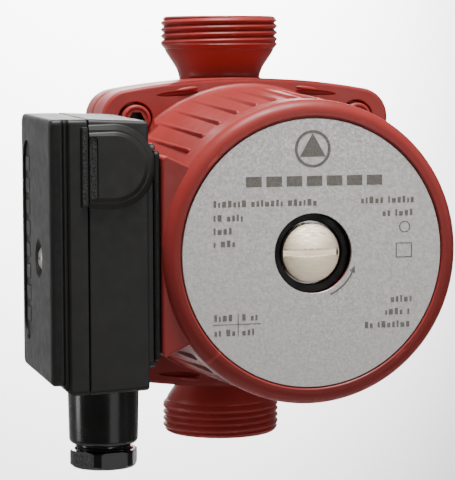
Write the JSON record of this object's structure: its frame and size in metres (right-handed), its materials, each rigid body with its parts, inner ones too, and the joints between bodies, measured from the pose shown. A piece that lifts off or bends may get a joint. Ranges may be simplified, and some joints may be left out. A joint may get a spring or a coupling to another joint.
{
  "type": "circulator pump",
  "caption": "Wet-rotor heating circulator: round motor with slotted vent plug, square flange, in-line threaded ports and a side terminal box with a cable gland.",
  "frame": {"origin": "where the motor axis crosses the port line, midway between the two port faces", "axes": "+Z along the port line to the outlet, -Y out of the motor's face, -X towards the terminal box"},
  "size_m": [0.133, 0.1406, 0.15],
  "materials": {
    "red_paint": "satin red enamel on cast metal",
    "red_screw": "satin red enamel on steel",
    "black_plastic": "fine satin texture",
    "gland_plastic": "polished black",
    "rubber": "matt black",
    "name_plate": "fine-grained grey with plain printed marks",
    "stainless": "drawn stainless steel",
    "zinc_steel": "zinc plated",
    "nickel_brass": "nickel plated brass",
    "laminations": "stacked electrical steel",
    "copper": "enamelled copper wire",
    "ceramic": "ground aluminium oxide",
    "carbon": "ground carbon",
    "composite": "glass-filled moulding",
    "grey_plastic": "plain moulding"
  },
  "bodies": {
    "pump": {"pump_housing": "red_paint", "stator_housing": "red_paint", "cap_screw_top_left": "red_screw", "cap_screw_top_right": "red_screw", "cap_screw_bottom_left": "red_screw", "cap_screw_bottom_right": "red_screw", "neck_ring": "stainless", "housing_gasket": "rubber", "rotor_can": "stainless", "bearing_plate": "stainless", "inboard_bearing": "ceramic", "outboard_bearing": "ceramic", "stator_core": "laminations", "winding_front": "copper", "winding_rear": "copper", "nameplate": "name_plate", "vent_recess_ring": "rubber", "terminal_box_base": "black_plastic", "base_gasket": "rubber", "base_screw_upper": "zinc_steel", "base_screw_lower": "zinc_steel", "earth_screw": "nickel_brass", "capacitor": "grey_plastic", "capacitor_clip": "zinc_steel", "terminal_block": "composite", "terminal_screw_1": "nickel_brass", "terminal_screw_2": "nickel_brass", "terminal_screw_3": "nickel_brass", "lead_sleeve": "grey_plastic", "gland_seal": "rubber"},
    "rotating_unit": {"shaft": "ceramic", "rotor": "stainless", "thrust_bearing": "carbon", "impeller": "composite"},
    "vent_seal_carrier": {"vent_seal": "rubber"},
    "vent_plug": {"vent_screw": "nickel_brass"},
    "gland_clamp": {"clamp_ring": "gland_plastic"},
    "gland_cap": {"gland_nut": "gland_plastic"},
    "box_cover": {"terminal_cover": "black_plastic"},
    "cover_fixing": {"cover_screw": "zinc_steel"}
  },
  "joints": [
    {"name": "rotor_spin", "type": "hinge", "parent": "pump", "child": "rotating_unit", "pos_m": [0, 0, 0], "axis": [0, -1, 0], "continuous": true},
    {"name": "vent_travel", "type": "slide", "parent": "pump", "child": "vent_seal_carrier", "axis": [0, -1, 0], "range_m": [0, 0.006]},
    {"name": "vent_turn", "type": "hinge", "parent": "vent_seal_carrier", "child": "vent_plug", "pos_m": [0, -0.1121, 0], "axis": [0, -1, 0], "range_deg": [0, 1440]},
    {"name": "gland_travel", "type": "slide", "parent": "pump", "child": "gland_clamp", "axis": [0, 0, -1], "range_m": [0, 0.0045]},
    {"name": "gland_turn", "type": "hinge", "parent": "gland_clamp", "child": "gland_cap", "pos_m": [-0.061, -0.086, -0.0655], "axis": [0, 0, -1], "range_deg": [0, 1080]},
    {"name": "cover_lift_off", "type": "slide", "parent": "pump", "child": "box_cover", "axis": [-1, 0, 0], "range_m": [0, 0.06]},
    {"name": "cover_screw_turn", "type": "hinge", "parent": "box_cover", "child": "cover_fixing", "pos_m": [-0.08, -0.09, -0.0015], "axis": [-1, 0, 0], "range_deg": [0, 1800]}
  ],
  "couplings": [
    {"joint": "vent_travel", "follows": "vent_turn", "m_per_rad": 0.00023873},
    {"joint": "gland_travel", "follows": "gland_turn", "m_per_rad": 0.00023873}
  ]
}
